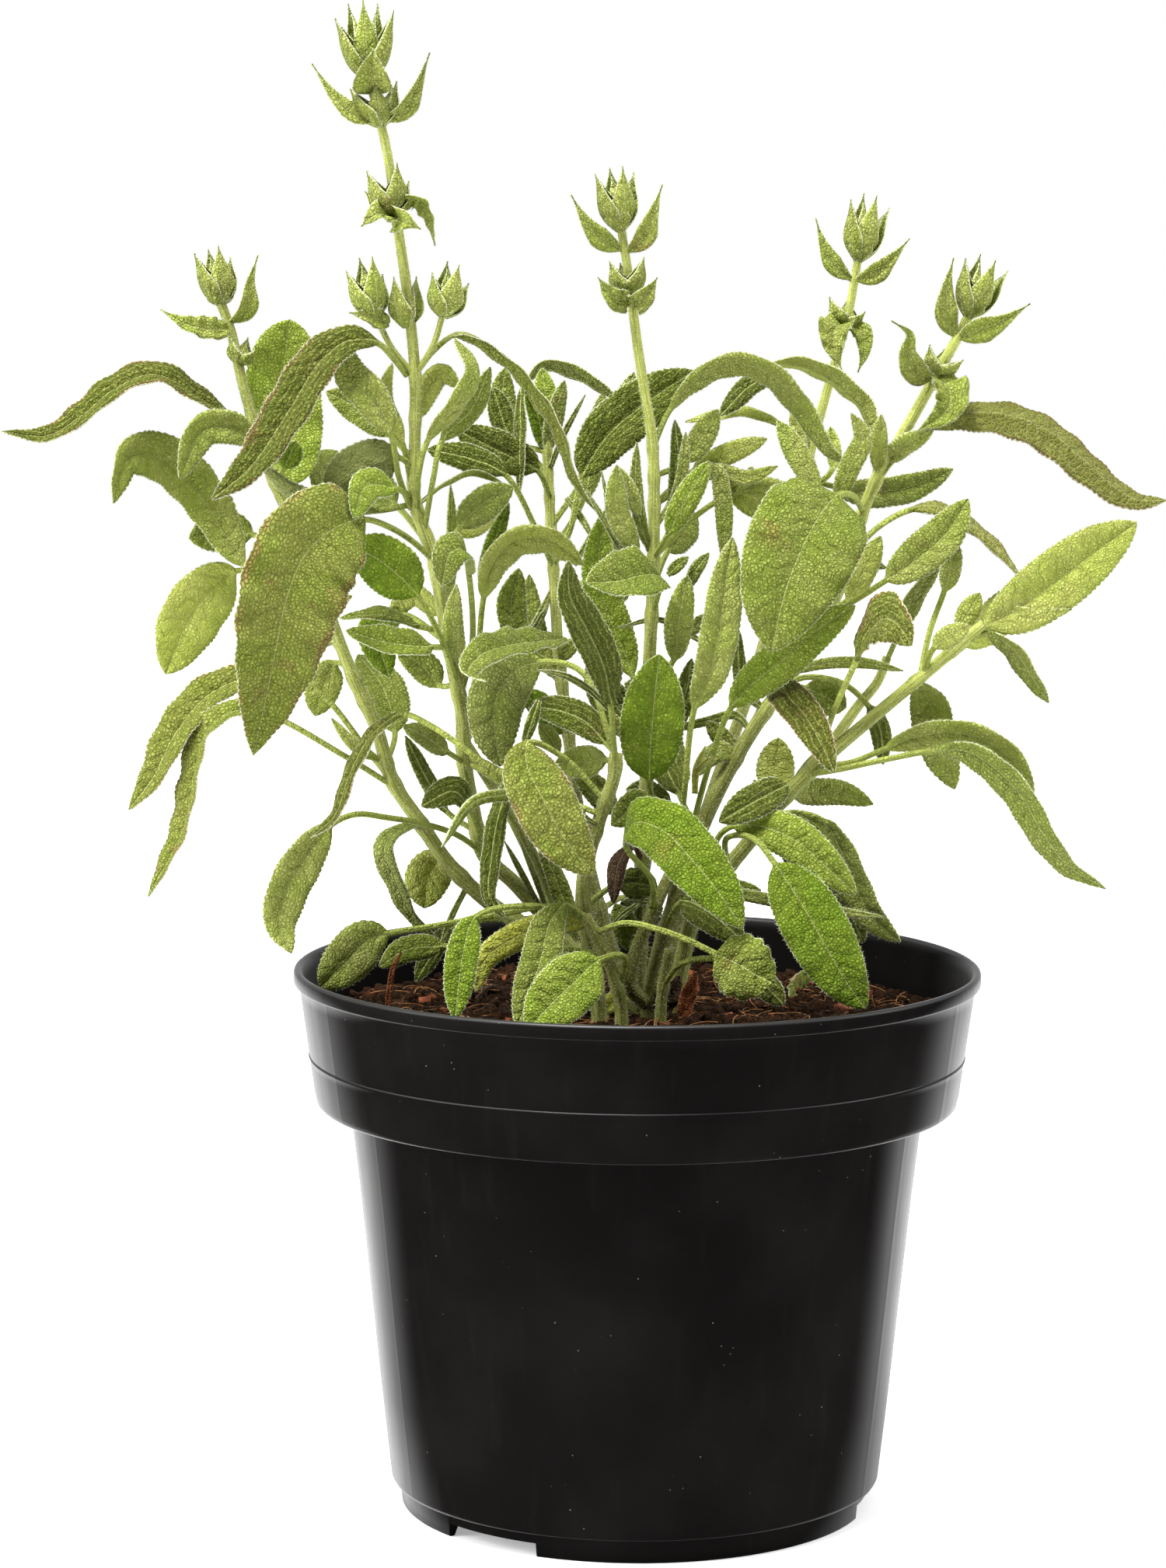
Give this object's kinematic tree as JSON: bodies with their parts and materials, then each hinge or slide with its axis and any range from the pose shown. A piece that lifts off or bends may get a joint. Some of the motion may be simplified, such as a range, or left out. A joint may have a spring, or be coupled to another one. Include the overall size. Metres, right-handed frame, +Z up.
{
  "type": "potted herb",
  "caption": "Sage plant in a round black nursery pot with a stepped rim band, filled with dark compost; loose leafy stems with wrinkled leaves rise from it, the tall ones ending in flower buds.",
  "frame": {"origin": "on the floor, under the middle of the whole object's box; the pot's own axis stands at X = +0.0137, Y = 0", "axes": "+Z up along the pot's axis, +X to the right and -Y towards the viewer of the reference view"},
  "size_m": [0.2864, 0.17, 0.3702],
  "materials": {
    "pot_plastic": "satin black injection-moulded polypropylene with a glossy lip",
    "compost": "moist brown peat with reddish bark chips and fibres",
    "foliage": "velvety grey-green sage leaves with a wrinkled surface, pale sunken veins and downy stems"
  },
  "bodies": {
    "root": {"pot": "pot_plastic", "soil": "compost", "far_left_stem": "foliage", "tall_stem": "foliage", "centre_stem": "foliage", "rear_stem": "foliage", "right_rear_stem": "foliage", "right_stem": "foliage", "far_right_stem": "foliage", "front_stem": "foliage", "low_front_shoot": "foliage", "low_right_shoot": "foliage"}
  },
  "joints": []
}
